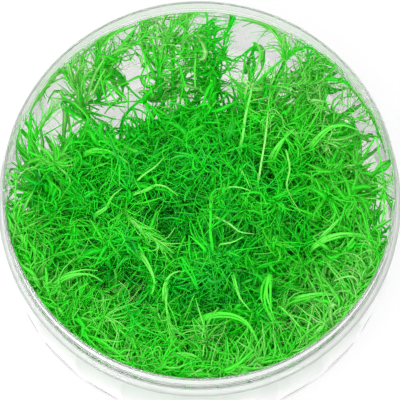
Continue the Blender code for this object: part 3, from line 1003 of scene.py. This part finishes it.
def shootRuns(name, axis, crowded, rng):
    # the shoot's own stem and its side stems
    low, high = foliage["leafLength"]
    main = smoothRun(axis, foliage["stemStep"])
    outward = min(1.0, float(np.hypot(axis[-1, 0], axis[-1, 1])) / cup["neckRadius"])
    # painted light and shade: shoots further out are paler, those near the middle darker
    hue = foliage["hue"] + foliage["outerHue"] * (outward**2 - 0.5)
    stemHue = rng.uniform(0.45, 0.85)
    runs = [newRun(main, foliage["stemGirth"], hue, stemHue, (low + high) / 2, "leafy")]
    bearing = math.atan2(axis[-1, 1], axis[-1, 0])
    edge = foliage["edge"] * np.array([[math.cos(bearing), math.sin(bearing)]])
    dense = float(thinness(edge[:, 0], edge[:, 1])[0]) < 0.5
    atWall = outward > foliage["wallShoots"] and dense
    if atWall:
        path = wallBranch(main[int(foliage["wallStart"] * len(main))], bearing, foliage["wallRun"], rng)
        runs.append(newRun(path, foliage["branchGirth"], hue + 0.12, 0.8, high, "leafy"))
    for number in range(foliage["branches"] - atWall):
        share = 0.20 + 0.76 * (number + rng.uniform(0.0, 0.8)) / foliage["branches"]
        at = int(min(share, 0.97) * (len(main) - 2))
        forward = main[at + 1] - main[at]
        forward /= np.linalg.norm(forward)
        path = branchToSpace(main[at], forward, rng.uniform(*foliage["branchLength"]), crowded, rng)
        own = max(hue + rng.normal(0.0, foliage["hueSpread"]), 0.05)
        girth = foliage["branchGirth"] * rng.uniform(0.8, 1.3)
        runs.append(newRun(path, girth, own, rng.uniform(0.5, 0.95), rng.uniform(low, high), "leafy"))
    for run in runs:
        run["fullness"] = run["fullness"] * openness(run["points"])
    return runs


def ownSprigs(axes):
    # gives each sprig to the shoot whose stem passes nearest below its foot, and joins it there
    owned = {name: [] for name in axes}
    stems = {name: smoothRun(axis, 0.001) for name, axis in axes.items()}
    for habit, girth, hue, stemHue, leafLength, places in sprigs:
        points = np.array(places) / 1000
        points[:, 2] += foliage["sprigLift"] * unit((points[:, 2] - foliage["liftFrom"]) / 0.002)
        root = points[0] - (points[1] - points[0]) * foliage["rootBack"]
        root = root - np.array([0.0, 0.0, foliage["rootDrop"]])
        nearest = None
        for name, stem in stems.items():
            away = np.linalg.norm(stem - root, axis=1)
            away += 2.0 * np.clip(stem[:, 2] - root[2] + 0.002, 0.0, None)
            spot = int(away.argmin())
            if nearest is None or away[spot] < nearest[0]:
                nearest = (away[spot], name, stem[spot])
        joined = np.concatenate([[nearest[2], root], points])
        owned[nearest[1]] += sprigRuns(joined, habit, girth / 1000, hue, stemHue, leafLength / 1000)
    return owned


def courseMesh(name, runs):
    # all of a shoot's stems as one mesh of edges
    edges, start = [], 0
    for run in runs:
        count = len(run["points"])
        edges += [(start + i, start + i + 1) for i in range(count - 1)]
        start += count
    mesh = bpy.data.meshes.new(name)
    mesh.from_pydata(np.concatenate([run["points"] for run in runs]).tolist(), edges, [])
    for key in ("girth", "leafSize", "fullness", "splay", "hue", "stemHue", "broad", "straight"):
        writeValues(mesh, key, np.concatenate([run[key] for run in runs]))
    return mesh


def leafShares():
    # where along a leaf its rings and its tip lie
    return np.append(np.linspace(0.0, foliage["lastRing"], foliage["leafRings"]), 1.0)


def leafMesh(name, kind, rng):
    # one leaf that starts along Z and bends towards X; flat above, keeled below
    rings = foliage["leafRings"]
    width = kind["width"] * rng.uniform(*foliage["widthScatter"])
    bend = math.radians(rng.uniform(*kind["bend"]))
    wave, sway = np.radians(kind["wave"]) * rng.uniform(-1.0, 1.0, 2)
    pace, phase = rng.uniform(*foliage["wavePace"]), rng.uniform(0.0, math.tau)
    twist = rng.uniform(-foliage["twist"], foliage["twist"])
    share = leafShares()
    pitch = bend * share**1.2 + wave * (np.sin(pace * share + phase) - math.sin(phase))
    yaw = sway * (np.sin(pace * share - phase) + math.sin(phase)) + 0.5 * sway * share
    direction = np.stack([np.sin(pitch) * np.cos(yaw), np.sin(yaw), np.cos(pitch) * np.cos(yaw)], axis=1)
    steps = (direction[1:] + direction[:-1]) / 2 * kind["length"] * np.diff(share)[:, None]
    spine = np.concatenate([[np.zeros(3)], np.cumsum(steps, axis=0)])
    places, along = [], []
    for index in range(rings):
        ahead = direction[index]
        side = np.cross(ahead, (np.cos(pitch[index]), 0.0, -np.sin(pitch[index])))
        side /= np.linalg.norm(side)
        under = np.cross(side, ahead)
        roll = twist * share[index]
        across = side * math.cos(roll) + under * math.sin(roll)
        keel = -side * math.sin(roll) + under * math.cos(roll)
        belly = 0.55 + 0.6 * math.sin(math.pi * min(share[index] + 0.12, 1.0)) ** 0.8
        half = width * belly * (1 - 0.25 * share[index])
        deep = half * kind["keel"]
        places += [spine[index] + across * half, spine[index] - across * half, spine[index] + keel * deep]
        along += [share[index]] * 3
    places.append(spine[-1])
    along.append(1.0)
    faces = [(2, 1, 0)]
    for index in range(rings - 1):
        a, b = 3 * index, 3 * index + 3
        for corner in range(3):
            after = (corner + 1) % 3
            faces.append((a + corner, a + after, b + after, b + corner))
    last = 3 * (rings - 1)
    for corner in range(3):
        faces.append((last + corner, last + (corner + 1) % 3, 3 * rings))
    mesh = bpy.data.meshes.new(name)
    mesh.from_pydata([tuple(p) for p in places], [], faces)
    shape = bmesh.new()
    shape.from_mesh(mesh)
    bmesh.ops.recalc_face_normals(shape, faces=shape.faces)
    shape.to_mesh(mesh)
    shape.free()
    writeValues(mesh, "alongLeaf", along)
    writeValues(mesh, "leafPart", [1.0] * len(along))
    writeValues(mesh, "paler", [kind["paler"]] * len(along))
    return mesh


def leafTree(leafShapes, material):
    # stems as tubes along the edges, and whorls of leaves spaced along them
    tree = bpy.data.node_groups.new("whorledStems", "GeometryNodeTree")
    board = Board(tree)
    sockets = {}

    def newInput(name, kind, value=None):
        socket = tree.interface.new_socket(name=name, in_out="INPUT", socket_type="NodeSocket" + kind)
        if value is not None:
            socket.default_value = value
        sockets[name] = socket.identifier

    newInput("Geometry", "Geometry")
    newInput("Whorl Spacing", "Float", foliage["whorlSpacing"])
    newInput("Leaves Per Whorl", "Int", foliage["leavesPerWhorl"])
    newInput("Splay Scatter", "Float", foliage["splayScatter"])
    newInput("Length Scatter", "Float", foliage["lengthScatter"])
    newInput("Hue Scatter", "Float", foliage["hueScatter"])
    newInput("Seed", "Int", foliage["seed"])
    tree.interface.new_socket(name="Geometry", in_out="OUTPUT", socket_type="NodeSocketGeometry")
    given = board.node("NodeGroupInput")

    def value(name):
        return Wire(board, outOf(given, name))

    def named(name, kind="FLOAT"):
        made = board.node("GeometryNodeInputNamedAttribute", {"data_type": kind}, Name=name)
        return Wire(board, outOf(made, "Attribute"))

    def drawn(kind, least, most, shift):
        seed = value("Seed") + shift
        made = board.node("FunctionNodeRandomValue", {"data_type": kind}, Min=least, Max=most, Seed=seed)
        return Wire(board, outOf(made, "Value"))

    def scattered(spread, shift):
        # a random number that lies within the spread on either side of 0
        return drawn("FLOAT", -1.0, 1.0, shift) * spread

    def picked(count, shift):
        # a random whole number from 0 up to one less than the count
        return drawn("INT", 0, count - 1, shift)

    def store(geometry, name, what, domain="POINT", kind="FLOAT"):
        settings = {"data_type": kind, "domain": domain}
        content = {"Geometry": geometry, "Name": name, "Value": what}
        return board.node("GeometryNodeStoreNamedAttribute", settings, **content).outputs[0]

    def turned(rotation, axis, angle):
        spin = board.node("FunctionNodeAxisAngleToRotation", Axis=axis, Angle=angle).outputs[0]
        local = {"rotation_space": "LOCAL"}
        return board.node("FunctionNodeRotateRotation", local, Rotation=rotation, Rotate_By=spin).outputs[0]

    curves = board.node("GeometryNodeMeshToCurve", Mesh=value("Geometry")).outputs[0]
    sides = foliage["stemSides"]
    outline = board.node("GeometryNodeCurvePrimitiveCircle", Resolution=sides, Radius=1.0).outputs[0]
    tube = board.node(
        "GeometryNodeCurveToMesh",
        Curve=curves,
        Profile_Curve=outline,
        Scale=named("girth"),
        Fill_Caps=True,
    )
    stems = store(tube.outputs[0], "leafTint", named("stemHue"))
    stems = store(stems, "alongLeaf", 0.5)

    spacing = value("Whorl Spacing")
    points = board.node("GeometryNodeCurveToPoints", {"mode": "LENGTH"}, Curve=curves, Length=spacing)
    spots = store(points.outputs["Points"], "whorlTurn", scattered(math.pi, 1))
    spots = store(spots, "stemTurn", points.outputs["Rotation"], kind="QUATERNION")
    atPoints = {"domain": "POINT"}
    count = value("Leaves Per Whorl")
    many = board.node("GeometryNodeDuplicateElements", atPoints, Geometry=spots, Amount=count)
    spots = store(many.outputs["Geometry"], "leafNumber", many.outputs["Duplicate Index"])
    greater = {"data_type": "FLOAT", "operation": "GREATER_THAN"}
    sparse = board.node("FunctionNodeCompare", greater, A=0.5 + scattered(0.5, 2), B=named("fullness"))
    bare = outOf(sparse, "Result")
    spots = board.node("GeometryNodeDeleteGeometry", atPoints, Geometry=spots, Selection=bare)
    azimuth = named("whorlTurn") + named("leafNumber") * math.tau / value("Leaves Per Whorl")
    azimuth = azimuth + scattered(foliage["azimuthScatter"], 3)
    facing = turned(named("stemTurn", "QUATERNION"), (0.0, 0.0, 1.0), azimuth)
    facing = turned(facing, (0.0, 1.0, 0.0), named("splay") * (1 + scattered(value("Splay Scatter"), 4)))
    shapes = board.node(
        "GeometryNodeCollectionInfo",
        Collection=leafShapes,
        Separate_Children=True,
        Reset_Children=True,
    )
    *mixed, broads, straights = [kind["shapes"] for kind in leafKinds]
    common = sum(mixed)
    broad = board.maths("LESS_THAN", 0.5 + scattered(0.5, 7), named("broad"))
    straight = board.maths("LESS_THAN", 0.5 + scattered(0.5, 10), named("straight")) * (1 - broad)
    pick = picked(common, 8) * (1 - broad) * (1 - straight)
    pick = pick + (common + picked(broads, 9)) * broad
    pick = pick + (common + broads + picked(straights, 11)) * straight
    leaves = board.node(
        "GeometryNodeInstanceOnPoints",
        Points=spots.outputs[0],
        Instance=shapes.outputs[0],
        Pick_Instance=True,
        Instance_Index=pick,
        Rotation=facing,
        Scale=named("leafSize") * (1 + scattered(value("Length Scatter"), 5)),
    ).outputs[0]
    # only leaves whose own hue is near 0 may turn brown
    least = board.maths("MINIMUM", named("hue"), 0.04)
    tint = board.maths("MAXIMUM", named("hue") + scattered(value("Hue Scatter"), 6), least)
    leaves = store(leaves, "leafTint", tint, "INSTANCE")
    joined = board.node("GeometryNodeJoinGeometry")
    tree.links.new(leaves, joined.inputs[0])
    tree.links.new(stems, joined.inputs[0])
    solid = board.node("GeometryNodeRealizeInstances", Geometry=joined.outputs[0])
    done = board.node("GeometryNodeSetMaterial", Geometry=solid.outputs[0], Material=material)
    board.node("NodeGroupOutput", Geometry=done.outputs[0])
    return tree, sockets


def leafGreen():
    material, board = newMaterial("leafGreen")
    tint = attribute(board, "leafTint") + attribute(board, "paler")
    along = attribute(board, "alongLeaf")
    greens = colourRamp(board, tint, leafColours)
    skin = board.node(
        "ShaderNodeBsdfPrincipled",
        Base_Color=mixColours(board, foliage["tipShare"] * along, greens, foliage["tipColour"]),
        Roughness=foliage["gloss"] + foliage["glossSpread"] * noise(board, foliage["glossScale"]),
        IOR=foliage["ior"],
    )
    glow = board.node("ShaderNodeBsdfTranslucent", Color=foliage["throughColour"])
    finishMaterial(board, skin, glow, foliage["seeThrough"])
    return material


def drift(points):
    # a smooth field that carries neighbouring leaf tips the same way
    x, y, z = (points[..., axis] * 1000 for axis in range(3))
    across = np.sin(0.31 * x + 0.8) * np.cos(0.27 * y - 0.4) + 0.6 * np.sin(0.55 * y + 0.21 * z)
    aside = np.cos(0.29 * x - 0.2 * z) * np.sin(0.33 * y + 1.1) + 0.6 * np.cos(0.47 * x + 0.9)
    rise = 0.5 * np.sin(0.38 * x + 0.35 * y)
    return np.stack([across, aside, rise], axis=-1)


def settleLeaves(places, leafMask, rng):
    # bends leaves to drift with their neighbours, lie along the wall and stay under the crown
    size = 3 * foliage["leafRings"] + 1
    leaves = places[leafMask].reshape(-1, size, 3)
    rings = leaves[:, :-1].reshape(len(leaves), -1, 3, 3)
    spine = np.concatenate([rings.mean(axis=2), leaves[:, -1:]], axis=1)
    share = leafShares()[None, :, None]
    stray = rng.normal(0.0, foliage["stray"], (len(leaves), 1, 3)) * (1, 1, 0.5)
    moved = spine + share**2 * (foliage["swirl"] * drift(spine[:, -1:, :]) + stray)
    moved = insideCup(moved, rng.choice([-1.0, 1.0], len(leaves))[:, None])
    shift = moved - spine
    leaves[:, :-1] += np.repeat(shift[:, :-1], 3, axis=1)
    leaves[:, -1] += shift[:, -1]
    places[leafMask] = leaves.reshape(-1, 3)
    places[~leafMask] = insideCup(places[~leafMask], np.zeros(int((~leafMask).sum())))
    limit = innerRadius(places[:, 2]) - foliage["leastGap"]
    radius = np.hypot(places[:, 0], places[:, 1])
    places[:, :2] *= np.minimum(1.0, limit / np.maximum(radius, 1e-9))[:, None]
    return places


def insideCup(points, side):
    # presses points softly within the wall, under the crown and above the gel
    x, y, z = points[..., 0], points[..., 1], points[..., 2]
    soft = foliage["crownSoftness"]
    top = crownAt(x, y)
    over = np.clip(z - (top - soft), 0.0, None)
    z = np.where(over > 0, top - soft + soft * (1 - np.exp(-over / soft)), z)
    z = np.maximum(z, gel["level"] + foliage["gelGap"])
    radius = np.hypot(x, y)
    soft = foliage["wallSoftness"]
    limit = innerRadius(z) - foliage["wallGap"]
    past = np.clip(radius - (limit - soft), 0.0, None)
    pressed = np.where(past > 0, limit - soft + soft * (1 - np.exp(-past / soft)), radius)
    lost = radius - pressed
    turn = np.arctan2(y, x) + side * foliage["wallTurn"] * lost / np.maximum(radius, 1e-6)
    z = np.minimum(z + foliage["wallRise"] * lost, np.maximum(top, z))
    return np.stack([pressed * np.cos(turn), pressed * np.sin(turn), z], axis=-1)


def grownMesh(course, tree, sockets, seed):
    # the tree's result as a plain mesh
    grow = course.modifiers.new("grow", "NODES")
    grow.node_group = tree
    grow[sockets["Seed"]] = seed
    graph = bpy.context.evaluated_depsgraph_get()
    mesh = bpy.data.meshes.new_from_object(course.evaluated_get(graph))
    course.modifiers.clear()
    return mesh


def makeLeafShapes(rng):
    leafShapes = bpy.data.collections.new("leafShapes")
    for rank, kind in enumerate(leafKinds):
        for number in range(kind["shapes"]):
            name = f"leafShape{rank}_{number:02d}"
            leafShapes.objects.link(bpy.data.objects.new(name, leafMesh(name, kind, rng)))
    return leafShapes


def makeShoot(name, runs, tree, sockets, seed, rng):
    course = newObject("course_" + name, courseMesh(name, runs))
    mesh = grownMesh(course, tree, sockets, seed)
    bpy.data.objects.remove(course)
    places = settleLeaves(readPlaces(mesh), readValues(mesh, "leafPart") > 0.5, rng)
    mesh.vertices.foreach_set("co", places.ravel())
    mesh.update()
    mesh.shade_smooth()
    piece = newObject("leafy" + name.title().replace("_", ""), mesh)
    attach(piece, "root")
    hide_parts(name)
    return sum(len(polygon.vertices) - 2 for polygon in mesh.polygons)


def makeFoliage():
    rng = np.random.default_rng(foliage["seed"])
    leafShapes = makeLeafShapes(rng)
    tree, sockets = leafTree(leafShapes, leafGreen())
    axes = {name: stemAxis(name) for name in shootNames}
    owned = ownSprigs(axes)
    crowded = np.zeros((foliage["mapSize"], foliage["mapSize"]))
    for axis in axes.values():
        np.add.at(crowded, cells(smoothRun(axis, foliage["branchStep"])), 1.0)
    total = 0
    for number, name in enumerate(shootNames):
        runs = shootRuns(name, axes[name], crowded, rng) + owned[name]
        total += makeShoot(name, runs, tree, sockets, foliage["seed"] + 10 * number, rng)
    bpy.data.node_groups.remove(tree)
    for shape in list(leafShapes.objects):
        bpy.data.objects.remove(shape)
    bpy.data.collections.remove(leafShapes)
    print("foliage", total, "triangles")


scene = bpy.context.scene
scene.view_settings.view_transform = "Standard"
scene.cycles.diffuse_bounces = studio["leafBounces"]
scene.cycles.max_bounces = studio["allBounces"]
makeCamera()
makeSky()
makeLamp()
makeFloor()
print("studio ready")
makeCup()
makeGel()
makeFoliage()
